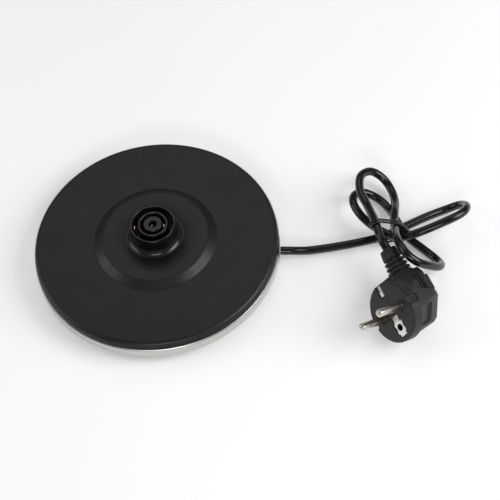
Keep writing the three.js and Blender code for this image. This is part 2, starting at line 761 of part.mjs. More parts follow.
// Moves a piece from the plug's own frame to where the plug lies.
function placedPlug(geometry) {
  const pins = new THREE.Vector3(...PLUG_PIN_DIRECTION).normalize();
  const across = new THREE.Vector3(...PLUG_EARTH_DIRECTION).cross(pins).normalize();
  const earth = new THREE.Vector3().crossVectors(pins, across);
  return geometry
    .applyMatrix4(new THREE.Matrix4().makeBasis(across, earth, pins))
    .translate(...PLUG_POSITION);
}

// A symmetrical outline, given by its points on the +X side from back to front.
function mirrored(points) {
  return [...points, ...points.map(([x, y]) => [-x, y]).reverse()];
}

// The straight part of the body toward the lead, tapered in all three views.
function plugShoulder() {
  const wide = PLUG_FACE_RADIUS * 2;
  const fromFront = plate(
    mirrored([
      [PLUG_SHOULDER_HALF_WIDTH, -PLUG_SHOULDER],
      [PLUG_FRONT_HALF_WIDTH - 1.5, -PLUG_SHOULDER / 2],
      [PLUG_FRONT_HALF_WIDTH, 0],
    ]),
    -wide,
    wide,
  );
  const fromEnd = plate(
    mirrored([
      [PLUG_BACK_HALF_WIDTH, -PLUG_DEPTH],
      [PLUG_FRONT_HALF_WIDTH, -PLUG_DISC_DEPTH],
      [PLUG_FRONT_HALF_WIDTH, -PLUG_SHOULDER_DEPTH + 1],
    ]),
    -wide,
    wide,
  ).rotateX(Math.PI / 2);
  const fromSide = plate(
    [
      [PLUG_SHOULDER_DEPTH - 1, 0],
      [PLUG_SHOULDER_DEPTH, -PLUG_SHOULDER],
      [PLUG_DEPTH, -PLUG_SHOULDER],
      [PLUG_DEPTH, 0],
    ],
    -wide,
    wide,
  ).rotateY(Math.PI / 2);
  return common(fromFront, fromEnd, fromSide);
}

// Round back of the body, cut to four slanted flats.
function plugBack() {
  const overlap = 1; // into the disc
  const length = PLUG_DEPTH - PLUG_DISC_DEPTH;
  const round = turned([
    [0, -PLUG_DEPTH],
    [PLUG_BACK_RADIUS - PLUG_BACK_BEVEL, -PLUG_DEPTH],
    [PLUG_BACK_RADIUS, -PLUG_DEPTH + PLUG_BACK_EDGE],
    [PLUG_NECK_RADIUS, -PLUG_DISC_DEPTH],
    [PLUG_NECK_RADIUS, -PLUG_DISC_DEPTH + overlap],
    [0, -PLUG_DISC_DEPTH + overlap],
  ], ROUND / 2);
  const slope = (PLUG_NECK_FLAT - PLUG_BACK_FLAT) / length;
  const flats = new THREE.CylinderGeometry(
    (PLUG_NECK_FLAT + slope * overlap) * Math.SQRT2,
    PLUG_BACK_FLAT * Math.SQRT2,
    length + overlap,
    4,
  )
    .rotateX(Math.PI / 2)
    .translate(0, 0, -PLUG_DEPTH + (length + overlap) / 2);
  return common(round, flats);
}

// Shallow slot across one flat, parallel to it.
function thumbRecess(azimuth) {
  const slope = (PLUG_NECK_FLAT - PLUG_BACK_FLAT) / (PLUG_DEPTH - PLUG_DISC_DEPTH);
  const middle = (THUMB_RECESS[0] + THUMB_RECESS[1]) / 2;
  const length = THUMB_RECESS[1] - THUMB_RECESS[0];
  const flat = PLUG_NECK_FLAT - slope * (middle - PLUG_DISC_DEPTH);
  return block(
    [-THUMB_RECESS_DEPTH, -THUMB_RECESS_WIDTH / 2, -length / 2],
    [THUMB_RECESS_DEPTH, THUMB_RECESS_WIDTH / 2, length / 2],
  )
    .rotateY(Math.atan(slope))
    .translate(flat, 0, -middle)
    .rotateZ(degrees(azimuth));
}

// Disc face, tapered back and shoulder in one moulding, cut for the pins and earth contacts.
function plugBody() {
  const disc = post(PLUG_FACE_RADIUS, -PLUG_DISC_DEPTH, 0, 0, 0, ROUND);
  const grip = block(
    [-PLUG_GRIP_HALF_WIDTH, PLUG_GRIP[0], -PLUG_DEPTH],
    [PLUG_GRIP_HALF_WIDTH, PLUG_GRIP[1], -PLUG_DEPTH + PLUG_GRIP_THICKNESS],
  );
  const grooves = [-1, 1].map((side) =>
    block(
      [-PLUG_GROOVE_DEPTH, -PLUG_GROOVE_WIDTH / 2, -PLUG_DISC_DEPTH - 1],
      [PLUG_GROOVE_DEPTH, PLUG_GROOVE_WIDTH / 2, 1],
    ).translate(side * PLUG_FACE_RADIUS, 0, 0),
  );
  const pinHoles = [-1, 1].map((side) =>
    post(
      PIN_DIAMETER / 2 + CLEARANCE,
      -PIN_EMBEDDED - CLEARANCE,
      1,
      (side * PIN_SPACING) / 2,
      0,
    ),
  );
  const earthHole = post(
    EARTH_HOLE_DIAMETER / 2 + CLEARANCE,
    -EARTH_HOLE_DEPTH,
    1,
    0,
    EARTH_HOLE_OFFSET,
  );
  return cut(
    join(disc, plugBack(), plugShoulder(), grip),
    ...grooves,
    thumbRecess(45),
    thumbRecess(135),
    ...pinHoles,
    earthHole,
    ...recess(EARTH_PLATE_WIDTH, EARTH_PLATE_START, EARTH_LEG),
    ...recess(SIDE_CLIP_WIDTH, PLUG_FACE_RADIUS - SIDE_CLIP_LENGTH, SIDE_CLIP_LEG).map((box) =>
      box.rotateZ(Math.PI),
    ),
  );
}

// Room for an L-shaped contact in the face and over the rim on the +Y side.
function recess(width, start, leg) {
  const half = width / 2 + CLEARANCE;
  const thickness = EARTH_PLATE_THICKNESS + 2 * CLEARANCE;
  const outside = PLUG_FACE_RADIUS + 1;
  return [
    block([-half, start - CLEARANCE, -thickness], [half, outside, 1]),
    block([-half, PLUG_FACE_RADIUS - thickness, -leg - 2 * CLEARANCE], [half, outside, 1]),
  ];
}

// L-shaped contact strip: flat in the face, folded over the rim on the +Y side.
function foldedContact(width, start, leg) {
  const half = width / 2;
  const outside = PLUG_FACE_RADIUS - CLEARANCE;
  const face = block([-half, start, -EARTH_PLATE_THICKNESS - CLEARANCE], [half, outside, -CLEARANCE]);
  const fold = block(
    [-half, outside - EARTH_PLATE_THICKNESS, -leg - CLEARANCE],
    [half, outside, -CLEARANCE],
  );
  return join(face, fold);
}

function plugEarthPlate() {
  const hole = post(EARTH_HOLE_DIAMETER / 2, -EARTH_HOLE_DEPTH, 1, 0, EARTH_HOLE_OFFSET);
  return cut(foldedContact(EARTH_PLATE_WIDTH, EARTH_PLATE_START, EARTH_LEG), hole);
}

function plugSideEarthClip() {
  const start = PLUG_FACE_RADIUS - SIDE_CLIP_LENGTH;
  return foldedContact(SIDE_CLIP_WIDTH, start, SIDE_CLIP_LEG).rotateZ(Math.PI);
}

// Round pin with a blunt rounded tip.
function plugPin(side) {
  const radius = PIN_DIAMETER / 2;
  return turned(
    [
      [0, -PIN_EMBEDDED],
      [radius, -PIN_EMBEDDED],
      [radius, PIN_LENGTH - radius * 0.6],
      [radius * 0.8, PIN_LENGTH - radius * 0.17],
      [radius * 0.4, PIN_LENGTH],
      [0, PIN_LENGTH],
    ],
    SMALL_ROUND,
  ).translate((side * PIN_SPACING) / 2, 0, 0);
}

// Tapered sleeve with grooves round it, from the body's shoulder to the lead.
function plugStrainRelief() {
  const pitch = RELIEF_LENGTH / (RELIEF_RIBS + 0.5);
  const taper = (RELIEF_BASE_RADIUS - RELIEF_TIP_RADIUS) / RELIEF_LENGTH;
  const profile = [[0, 0]];
  for (let i = 0; i <= RELIEF_RIBS; i += 1) {
    const start = i * pitch;
    const end = start + pitch / 2;
    profile.push([RELIEF_BASE_RADIUS - taper * start, start]);
    profile.push([RELIEF_BASE_RADIUS - taper * end, end]);
    if (i < RELIEF_RIBS) {
      profile.push([RELIEF_BASE_RADIUS - taper * end - RELIEF_GROOVE_DEPTH, end]);
      profile.push([RELIEF_BASE_RADIUS - taper * (start + pitch) - RELIEF_GROOVE_DEPTH, start + pitch]);
    }
  }
  profile.push([0, RELIEF_LENGTH]);
  return turned(profile, SMALL_ROUND)
    .rotateX(Math.PI / 2)
    .translate(0, -PLUG_SHOULDER - CLEARANCE, -PLUG_CORD_DEPTH);
}

// ---------------------------------------------------------------- materials

function material(color, roughness, metalness) {
  return new THREE.MeshStandardMaterial({ color, roughness, metalness });
}

const satinBlack = () => material('#2d2d2e', 0.45, 0);
const mattBlack = () => material('#242426', 0.75, 0);
const glossBlack = () => material('#151516', 0.25, 0);
const softBlack = () => material('#1d1d1e', 0.6, 0);
const rubberBlack = () => material('#1a1a1a', 0.9, 0);
const brushedSteel = () => material('#b9b8b5', 0.35, 1);
const zincSteel = () => material('#a5a7a8', 0.4, 1);
const nickel = () => material('#c9c4bb', 0.2, 1);
const brass = () => material('#b9924c', 0.3, 1);
const silvered = () => material('#d0cdc6', 0.25, 1);
const brownCore = () => material('#5b3a22', 0.6, 0);
const blueCore = () => material('#2b57a3', 0.6, 0);
const greenYellowCore = () => material('#8fa52b', 0.6, 0);

// ---------------------------------------------------------------- assembly

const group = new THREE.Group();

function add(name, geometry, meshMaterial) {
  const mesh = new THREE.Mesh(geometry, meshMaterial);
  mesh.name = name;
  group.add(mesh);
}

add('top_cover', topCover(), satinBlack());
add('trim_ring', trimRing(), brushedSteel());
add('bottom_shell', bottomShell(), mattBlack());
feetPlaces.forEach((place, i) => add(`rubber_foot_${i + 1}`, rubberFoot(place), rubberBlack()));
caseScrewPlaces.forEach((place, i) =>
  add(`case_screw_${i + 1}`, screwUp(place, caseWellTop, CASE_SCREW_LENGTH), zincSteel()),
);

add('connector_housing', connectorHousing(), glossBlack());
add('contact_carrier', contactCarrier(), mattBlack());
carrierScrewPlaces.forEach((place, i) =>
  add(`carrier_screw_${i + 1}`, screwUp(place, carrierBottom, CARRIER_SCREW_LENGTH), zincSteel()),
);
Object.entries(contacts).forEach(([name, contact]) => {
  const metal = name === 'earth' ? silvered : brass;
  add(`${name}_contact`, contactStrip(contact), metal());
  add(`${name}_tab`, terminalTab(terminalPlace(contact)), brass());
  add(`${name}_receptacle`, receptacle(terminalPlace(contact)), silvered());
});
add('live_wire', liveWire(), brownCore());
add('neutral_wire', neutralWire(), blueCore());
add('earth_wire', earthWire(), greenYellowCore());

add('cord_grommet', cordGrommet(), softBlack());
add('cord_clamp', cordClamp(), mattBlack());
clampScrewPlaces.forEach((place, i) =>
  add(`clamp_screw_${i + 1}`, screwDown(place, clampTop, CLAMP_SCREW_LENGTH), zincSteel()),
);
add('lead_inner_end', alongLead(CORD_DIAMETER / 2, leadInnerX, leadOuterX), softBlack());
add('power_cord', powerCord(), softBlack());
add('cord_tie', cordTie(), glossBlack());

add('plug_body', placedPlug(plugBody()), mattBlack());
add('plug_strain_relief', placedPlug(plugStrainRelief()), mattBlack());
[-1, 1].forEach((side, i) => add(`plug_pin_${i + 1}`, placedPlug(plugPin(side)), nickel()));
add('plug_earth_plate', placedPlug(plugEarthPlate()), silvered());
add('plug_side_earth_clip', placedPlug(plugSideEarthClip()), silvered());

export default group;
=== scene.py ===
"""Cordless kettle power base with its tied mains lead and angled earthed plug, in metres.

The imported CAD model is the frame. This script adds fine-edged visible pieces over its turned and
moulded parts, the lead, the tie, materials, a studio and the camera.
"""
import math

import bmesh
import bpy
from mathutils import Matrix, Vector


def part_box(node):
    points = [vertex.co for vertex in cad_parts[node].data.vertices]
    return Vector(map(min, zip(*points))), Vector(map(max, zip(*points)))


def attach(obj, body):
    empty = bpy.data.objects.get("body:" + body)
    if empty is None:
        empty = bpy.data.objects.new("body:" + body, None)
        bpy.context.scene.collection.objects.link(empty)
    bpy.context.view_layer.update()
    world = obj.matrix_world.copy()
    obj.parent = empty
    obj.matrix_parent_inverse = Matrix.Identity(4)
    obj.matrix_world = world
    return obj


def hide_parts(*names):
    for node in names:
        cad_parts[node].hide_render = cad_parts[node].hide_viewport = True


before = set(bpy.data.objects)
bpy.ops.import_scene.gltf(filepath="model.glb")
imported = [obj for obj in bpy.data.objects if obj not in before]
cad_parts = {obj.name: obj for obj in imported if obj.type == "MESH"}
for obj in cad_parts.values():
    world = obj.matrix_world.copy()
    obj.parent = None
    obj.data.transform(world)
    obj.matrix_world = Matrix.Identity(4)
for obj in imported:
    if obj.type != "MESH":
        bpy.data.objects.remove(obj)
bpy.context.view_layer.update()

MM = 0.001
BASE = "base"  # the body that everything but the sprung contacts rides on


def corners(node):
    """Lowest and highest corner of a CAD node in millimetres."""
    low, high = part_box(node)
    return Vector(low) / MM, Vector(high) / MM


# ------------------------------------------------------------------ camera

CAMERA_PLACE = (0.12588, -0.44943, 0.68221)
CAMERA_RIGHT = (0.99649, 0.05725, -0.06104)
CAMERA_UP = (-0.01378, 0.83166, 0.55512)
CAMERA_BACK = (0.08255, -0.55233, 0.82953)
CAMERA_LENS = 92.685


def make_camera():
    data = bpy.data.cameras.new("camera")
    data.lens = CAMERA_LENS
    data.sensor_width = 36
    camera = bpy.data.objects.new("camera", data)
    turn = Matrix((CAMERA_RIGHT, CAMERA_UP, CAMERA_BACK)).transposed()
    camera.matrix_world = Matrix.Translation(CAMERA_PLACE) @ turn.to_4x4()
    bpy.context.collection.objects.link(camera)
    bpy.context.scene.camera = camera


make_camera()

# ------------------------------------------------------------------ materials


class Shader:
    """A material's node tree, with the few calls that the materials below share."""

    def __init__(self, name):
        # The CAD's own material is taken over where it already has this name.
        self.material = bpy.data.materials.get(name) or bpy.data.materials.new(name)
        self.material.use_nodes = True
        self.tree = self.material.node_tree
        self.principled = self.tree.nodes["Principled BSDF"]

    def node(self, kind, **sockets):
        made = self.tree.nodes.new(kind)
        for socket, value in sockets.items():
            self.put(made.inputs[socket.replace("_", " ")], value)
        return made

    def put(self, socket, value):
        if isinstance(value, bpy.types.NodeSocket):
            self.tree.links.new(value, socket)
        else:
            socket.default_value = value

    def set(self, **sockets):
        for socket, value in sockets.items():
            self.put(self.principled.inputs[socket.replace("_", " ")], value)

    def place(self):
        return self.node("ShaderNodeTexCoord").outputs["Object"]

    def stretched(self, vector, scale):
        made = self.node("ShaderNodeMapping", Vector=vector)
        made.inputs["Scale"].default_value = scale
        return made.outputs["Vector"]

    def noise(self, scale, detail=3.0, roughness=0.5, vector=None):
        made = self.node("ShaderNodeTexNoise", Scale=scale, Detail=detail, Roughness=roughness)
        self.put(made.inputs["Vector"], vector or self.place())
        return made.outputs["Fac"]

    def mapped(self, value, low, high, start=0.3, end=0.7):
        """A value between start and end, mapped to the range from low to high."""
        made = self.node("ShaderNodeMapRange", Value=value)
        made.inputs["From Min"].default_value = start
        made.inputs["From Max"].default_value = end
        made.inputs["To Min"].default_value = low
        made.inputs["To Max"].default_value = high
        return made.outputs["Result"]

    def mixed(self, factor, first, second):
        made = self.node("ShaderNodeMix")
        made.data_type = "RGBA"
        self.put(made.inputs[0], factor)
        self.put(made.inputs[6], (*first, 1.0))
        self.put(made.inputs[7], (*second, 1.0))
        return made.outputs[2]

    def bump(self, height, strength, distance, normal=None):
        made = self.node("ShaderNodeBump", Height=height, Strength=strength, Distance=distance)
        if normal is not None:
            self.put(made.inputs["Normal"], normal)
        return made.outputs["Normal"]


def moulded_plastic(name, dark, light, roughness, grain=0.00002, grain_size=5200):
    """Shader of moulded plastic: a spark-eroded grain, slow flow shading, faint patchy gloss."""
    shader = Shader(name)
    flow = shader.noise(24, detail=2)
    speck = shader.noise(grain_size, detail=1)
    patch = shader.noise(90, detail=4, roughness=0.6)
    shader.set(
        Base_Color=shader.mixed(shader.mapped(flow, 0, 1), dark, light),
        Roughness=shader.mapped(patch, roughness - 0.04, roughness + 0.05),
        Normal=shader.bump(speck, 0.5, grain),
    )
    return shader


def shaded_side_cover_plastic(name):
    """The cover's satin plastic, its reflection turned down on the side wall as painted shade, so the
    side reads darker than the top.
    """
    shader = moulded_plastic(name, (0.0055, 0.0055, 0.0057), (0.007, 0.007, 0.0072), 0.4)
    height = shader.node("ShaderNodeSeparateXYZ", Vector=shader.place()).outputs["Z"]
    side_wall, top_edge = 0.0155, 0.0174  # heights in metres that the change runs between
    # Painted shade: a lower specular level below the top edge darkens the side wall.
    shader.set(Specular_IOR_Level=shader.mapped(height, 0.08, 0.46, side_wall, top_edge))
    return shader.material


def brushed_steel(name):
    """Stainless band with brushing that runs round its side."""
    shader = Shader(name)
    parts = shader.node("ShaderNodeSeparateXYZ", Vector=shader.place())
    angle = shader.node("ShaderNodeMath")
    angle.operation = "ARCTAN2"
    shader.put(angle.inputs[0], parts.outputs["Y"])
    shader.put(angle.inputs[1], parts.outputs["X"])
    round_it = shader.node("ShaderNodeCombineXYZ")
    shader.put(round_it.inputs["X"], angle.outputs["Value"])
    shader.put(round_it.inputs["Z"], parts.outputs["Z"])
    lines = shader.noise(1, detail=4, vector=shader.stretched(round_it.outputs[0], (5, 1, 9000)))
    clouds = shader.noise(30, detail=3)
    shader.set(
        Base_Color=shader.mixed(
            shader.mapped(lines, 0, 1), (0.52, 0.505, 0.48), (0.66, 0.645, 0.62)
        ),
        Metallic=1.0,
        Roughness=shader.mapped(clouds, 0.27, 0.36),
        Anisotropic=0.55,
        Normal=shader.bump(lines, 0.25, 0.00002),
    )
    return shader.material


def plated_metal(name, dark, light, roughness, wear=0.05):
    """Plated or bare metal, slightly dulled in patches, with fine drawing marks."""
    shader = Shader(name)
    dull = shader.noise(350, detail=4, roughness=0.65)
    marks = shader.noise(2600, detail=2)
    shader.set(
        Base_Color=shader.mixed(shader.mapped(dull, 0, 1), dark, light),
        Metallic=1.0,
        Roughness=shader.mapped(dull, roughness, roughness + wear),
        Normal=shader.bump(marks, 0.15, 0.00001),
    )
    return shader.material


def soft_sheath(name, dark, light, roughness):
    """Extruded or moulded soft plastic with a slight skin ripple under a sheen."""
    shader = Shader(name)
    ripple = shader.noise(420, detail=2)
    fine = shader.noise(3600, detail=2)
    smear = shader.noise(150, detail=3)
    normal = shader.bump(ripple, 0.1, 0.00008)
    shader.set(
        Base_Color=shader.mixed(shader.mapped(ripple, 0, 1), dark, light),
        Roughness=shader.mapped(smear, roughness - 0.05, roughness + 0.08),
        Normal=shader.bump(fine, 0.15, 0.00002, normal),
        Specular_IOR_Level=0.55,
    )
    return shader.material


def striped_core(name, first, second):
    """Core insulation in two colours, in stripes along its run."""
    shader = Shader(name)
    wave = shader.node("ShaderNodeTexWave", Scale=120.0, Distortion=1.5)
    shader.put(wave.inputs["Vector"], shader.place())
    stripe = shader.mapped(wave.outputs["Fac"], 0, 1, 0.45, 0.55)
    skin = shader.noise(900, detail=2)
    shader.set(
        Base_Color=shader.mixed(stripe, first, second),
        Roughness=shader.mapped(skin, 0.4, 0.5),
        Normal=shader.bump(skin, 0.2, 0.00003),
    )
    return shader.material


satin_black = shaded_side_cover_plastic("satin_black")
gloss_black = moulded_plastic(
    "gloss_black", (0.004, 0.004, 0.0042), (0.006, 0.006, 0.0062), 0.24, grain=0.000006
).material
matt_black = moulded_plastic(
    "matt_black", (0.014, 0.014, 0.015), (0.019, 0.019, 0.02), 0.62
).material
plug_black = moulded_plastic(
    "plug_black", (0.008, 0.008, 0.0083), (0.011, 0.011, 0.0114), 0.48,
    grain=0.00003, grain_size=3800,
).material
foot_rubber = moulded_plastic(
    "foot_rubber", (0.011, 0.011, 0.011), (0.017, 0.0165, 0.016), 0.85, grain=0.00005
).material
cord_sheath = soft_sheath("cord_sheath", (0.004, 0.004, 0.0042), (0.006, 0.006, 0.0062), 0.15)
grommet_black = soft_sheath("grommet_black", (0.008, 0.008, 0.008), (0.012, 0.012, 0.012), 0.42)
tie_sleeve = soft_sheath("tie_sleeve", (0.004, 0.004, 0.004), (0.007, 0.007, 0.007), 0.2)
steel_band = brushed_steel("steel_band")
zinc = plated_metal("zinc", (0.36, 0.37, 0.39), (0.5, 0.5, 0.49), 0.32, wear=0.12)
nickel = plated_metal("nickel", (0.6, 0.55, 0.48), (0.73, 0.69, 0.62), 0.27)
brass = plated_metal("brass", (0.72, 0.52, 0.25), (0.9, 0.7, 0.4), 0.22, wear=0.1)
silvered = plated_metal("silvered", (0.72, 0.67, 0.64), (0.86, 0.82, 0.79), 0.3, wear=0.12)
brown_core = striped_core("brown_core", (0.1, 0.045, 0.02), (0.12, 0.055, 0.026))
blue_core = striped_core("blue_core", (0.02, 0.09, 0.34), (0.026, 0.11, 0.4))
earth_core = striped_core("earth_core", (0.05, 0.25, 0.04), (0.62, 0.56, 0.04))

# ------------------------------------------------------------------ mesh building


def add_piece(name, mesh, material, slot, *nodes, smooth_under=35):
    """Puts a finished mesh in the scene as a piece that stands for CAD nodes of the base."""
    mesh.shade_smooth()
    mesh.set_sharp_from_angle(angle=math.radians(smooth_under))
    piece = bpy.data.objects.new(name, mesh)
    mesh.materials.append(material)
    bpy.context.collection.objects.link(piece)
    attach(piece, BASE)
    if nodes:
        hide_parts(*nodes)
    return piece


def mesh_from(name, points, faces):
    mesh = bpy.data.meshes.new(name)
    mesh.from_pydata([Vector(point) * MM for point in points], [], faces)
    mesh.validate()
    return mesh


def softened(profile, radius, steps=3):
    """A closed profile with each corner cut back and rounded, by at most radius."""
    rounded = []
    count = len(profile)
    for i, corner in enumerate(profile):
        here = Vector(corner)
        before = Vector(profile[i - 1]) - here
        after = Vector(profile[(i + 1) % count]) - here
        back = min(radius, before.length * 0.45)
        ahead = min(radius, after.length * 0.45)
        start = here + before.normalized() * back
        end = here + after.normalized() * ahead
        for step in range(steps + 1):
            t = step / steps
            rounded.append((1 - t) ** 2 * start + 2 * t * (1 - t) * here + t**2 * end)
    return [(point.x, point.y) for point in rounded]


def rounded_run(points, radius, steps=3):
    """An open run with its inner corners rounded. Its two ends only set directions."""
    each = steps + 1
    return softened(points, radius, steps)[each:-each]


def turned(name, profile, sides, first=0.0, last=360.0):
    """A closed [radius, height] profile turned about Z, whole or between two angles in degrees."""
    whole = last - first >= 360
    rings = sides if whole else sides + 1
    points = []
    for i in range(rings):
        angle = math.radians(first + (last - first) * i / sides)
        points += [(r * math.cos(angle), r * math.sin(angle), z) for r, z in profile]
    count = len(profile)
    faces = []
    for i in range(sides):
        for j in range(count):
            a, b = i * count, ((i + 1) % rings) * count
            k = (j + 1) % count
            faces.append((a + j, b + j, b + k, a + k))
    if not whole:
        faces.append(tuple(range(count)))
        faces.append(tuple(reversed(range(sides * count, sides * count + count))))
    return mesh_from(name, points, faces)


def turned_solid(name, profile, sides):
    """A profile from the axis to the axis, turned about Z and closed at both ends."""
    inner = profile[1:-1]
    points = [(0, 0, profile[0][1])]
    for i in range(sides):
        angle = 2 * math.pi * i / sides
        points += [(r * math.cos(angle), r * math.sin(angle), z) for r, z in inner]
    points.append((0, 0, profile[-1][1]))
    count, last = len(inner), len(points) - 1
    faces = []
    for i in range(sides):
        a, b = 1 + i * count, 1 + ((i + 1) % sides) * count
        faces.append((0, b, a))
        faces += [(a + j, b + j, b + j + 1, a + j + 1) for j in range(count - 1)]
        faces.append((a + count - 1, b + count - 1, last))
    return mesh_from(name, points, faces)


def box_mesh(low, high):
    points = [(x, y, z) for x in (low[0], high[0]) for y in (low[1], high[1]) for z in (low[2], high[2])]
    faces = [(0, 1, 3, 2), (4, 6, 7, 5), (0, 4, 5, 1), (2, 3, 7, 6), (0, 2, 6, 4), (1, 5, 7, 3)]
    return mesh_from("box", points, faces)


def loft(name, sections):
    """A closed solid through rings of equally many points, capped at both ends."""
    count = len(sections[0])
    points = [point for section in sections for point in section]
    faces = []
    for i in range(len(sections) - 1):
        for j in range(count):
            k = (j + 1) % count
            faces.append((i * count + j, i * count + k, (i + 1) * count + k, (i + 1) * count + j))
    faces.append(tuple(reversed(range(count))))
    faces.append(tuple(range(len(points) - count, len(points))))
    return mesh_from(name, points, faces)


def moved(mesh, matrix):
    mesh.transform(matrix)
    return mesh


def combined(mesh, others, operation):
    """The mesh after a boolean with each of the others, through a temporary object."""
    target = bpy.data.objects.new("target", mesh)
    bpy.context.collection.objects.link(target)
    tools = []
    for other in others:
        tool = bpy.data.objects.new("tool", other)
        bpy.context.collection.objects.link(tool)
        tools.append(tool)
        step = target.modifiers.new("boolean", "BOOLEAN")
        step.operation = operation
        step.solver = "EXACT"
        step.object = tool
    return applied(target, tools)


def applied(target, tools=()):
    """The object's mesh with its modifiers applied. The temporary objects are removed."""
    graph = bpy.context.evaluated_depsgraph_get()
    result = bpy.data.meshes.new_from_object(target.evaluated_get(graph))
    for temporary in (target, *tools):
        bpy.data.objects.remove(temporary)
    return result


def worked(mesh, *steps):
    """The mesh after modifiers, each given as its kind and settings."""
    target = bpy.data.objects.new("target", mesh)
    bpy.context.collection.objects.link(target)
    for kind, settings in steps:
        modifier = target.modifiers.new(kind, kind)
        for key, value in settings.items():
            setattr(modifier, key, value)
    return applied(target)


# ------------------------------------------------------------------ lead

CORD_DIAMETER = 5.4

# Straight out and down to the surface, out to the far loop, back under the tie to the rear loop,
# through to the near loop, up into the high loop, and down to the plug.
CORD_ROUTE = [
    (0.0779, 0, 0.007), (0.084, 0.0002, 0.0068), (0.097, 0.0025, 0.0042), (0.141, 0.014, 0.003),
    (0.1565, 0.0225, 0.003), (0.171, 0.0303, 0.0035), (0.183, 0.036, 0.0035),
    (0.191, 0.036, 0.0085), (0.1945, 0.031, 0.0145), (0.192, 0.023, 0.019),
    (0.182, 0.016, 0.0195), (0.153, 0.0095, 0.01), (0.142, 0.014, 0.009),
    (0.1295, 0.0225, 0.0125), (0.1235, 0.0325, 0.0135), (0.124, 0.041, 0.011),
    (0.13, 0.046, 0.007), (0.139, 0.044, 0.0035), (0.1465, 0.0355, 0.0035),
    (0.152, 0.021, 0.0085), (0.1565, 0.0135, 0.0065), (0.1685, 0.0045, 0.003),
    (0.175, -0.002, 0.0035), (0.178, -0.009, 0.0075), (0.175, -0.0152, 0.0145),
    (0.162, -0.0198, 0.0272), (0.156, -0.0165, 0.0305), (0.1515, -0.008, 0.0295),
    (0.149, 0.0145, 0.017), (0.1495, 0.026, 0.0135), (0.15, 0.038, 0.008),
    (0.1475, 0.0495, 0.006), (0.142, 0.0565, 0.009), (0.1345, 0.0575, 0.0145),
    (0.128, 0.0505, 0.019), (0.1275, 0.038, 0.0205), (0.1325, 0.0245, 0.022),
    (0.137, 0.0095, 0.0265), (0.1407, -0.0037, 0.0274), (0.1444, -0.01005, 0.0253),
]


def curve_through(points, steps=12):
    """A centripetal Catmull-Rom curve through the points, as a list of closer points."""
    points = [Vector(point) for point in points]
    points = [2 * points[0] - points[1], *points, 2 * points[-1] - points[-2]]
    line = []
    for p0, p1, p2, p3 in zip(points, points[1:], points[2:], points[3:]):
        t1 = math.sqrt((p1 - p0).length)
        t2 = t1 + math.sqrt((p2 - p1).length)
        t3 = t2 + math.sqrt((p3 - p2).length)
        for i in range(steps):
            t = t1 + (t2 - t1) * i / steps
            a1 = p0.lerp(p1, t / t1)
            a2 = p1.lerp(p2, (t - t1) / (t2 - t1))
            a3 = p2.lerp(p3, (t - t2) / (t3 - t2))
            b1 = a1.lerp(a2, t / t2)
            b2 = a2.lerp(a3, (t - t1) / (t3 - t1))
            line.append(b1.lerp(b2, (t - t1) / (t2 - t1)))
    line.append(points[-2])
    return line


def wire_piece(name, points, radius, material, closed=False, resolution=6):
    """A round wire or cord along points in metres, as a curve."""
    data = bpy.data.curves.new(name, "CURVE")
    data.dimensions = "3D"
    data.bevel_depth = radius
    data.bevel_resolution = resolution
    data.use_fill_caps = not closed
    spline = data.splines.new("POLY")
    spline.points.add(len(points) - 1)
    for knot, point in zip(spline.points, points):
        knot.co = (*point, 1.0)
    spline.use_cyclic_u = closed
    data.materials.append(material)
    piece = bpy.data.objects.new(name, data)
    bpy.context.collection.objects.link(piece)
    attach(piece, BASE)
    return piece


cord_line = curve_through(CORD_ROUTE)
lead = wire_piece(
    "mains_lead", cord_line, CORD_DIAMETER / 2 * MM, cord_sheath, resolution=10
)
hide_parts("power_cord")

# ------------------------------------------------------------------ tie

TIE_CENTRE = Vector((0.1465, 0.0111, 0.016))
TIE_DIRECTION = Vector((0.43, -0.9, 0)).normalized()
TIE_WIRE = 0.0013
TIE_REACH = 0.02  # strands further from its centre aren't held
TIE_TURNS = 2
TIE_TURN_POINTS = 90
TIE_PITCH = 1.6  # from one turn to the next, in wire diameters
TIE_SLACK = 0.0002  # between the lead and the wire, before it is pulled smooth
STRAND_POINTS = 32  # round each strand's outline
LEAST_SLANT = 0.35  # limits the outline of a strand that runs along the tie's plane


def strand_outlines(normal):
    """Where the lead's strands cross the tie's plane, as ovals of points in that plane."""
    across = normal.cross(Vector((0, 0, 1))).normalized()
    radius = (CORD_DIAMETER * MM + TIE_WIRE) / 2 + TIE_SLACK
    outlines = []
    for a, b in zip(cord_line, cord_line[1:]):
        before, after = (a - TIE_CENTRE).dot(normal), (b - TIE_CENTRE).dot(normal)
        if before * after > 0 or (a - TIE_CENTRE).length > TIE_REACH:
            continue
        here = a.lerp(b, before / (before - after)) - TIE_CENTRE
        run = (b - a).normalized()
        lean = Vector((run.dot(across), run.z))
        slant = max(abs(run.dot(normal)), LEAST_SLANT)
        along = lean.normalized() if lean.length > 1e-6 else Vector((1, 0))
        middle = Vector((here.dot(across), here.z))
        for i in range(STRAND_POINTS):
            angle = 2 * math.pi * i / STRAND_POINTS
            side = Vector((-along.y, along.x)) * math.sin(angle) * radius
            outlines.append(middle + along * math.cos(angle) * radius / slant + side)
    return across, outlines


def hull(points):
    """The outline round a set of flat points, counterclockwise."""
    ordered = sorted((point.x, point.y) for point in points)

    def half(sequence):
        chain = []
        for p in sequence:
            while len(chain) > 1:
                (ax, ay), (bx, by) = chain[-2:]
                if (bx - ax) * (p[1] - ay) - (by - ay) * (p[0] - ax) > 0:
                    break
                chain.pop()
            chain.append(p)
        return chain[:-1]

    return [Vector(p) for p in half(ordered) + half(reversed(ordered))]


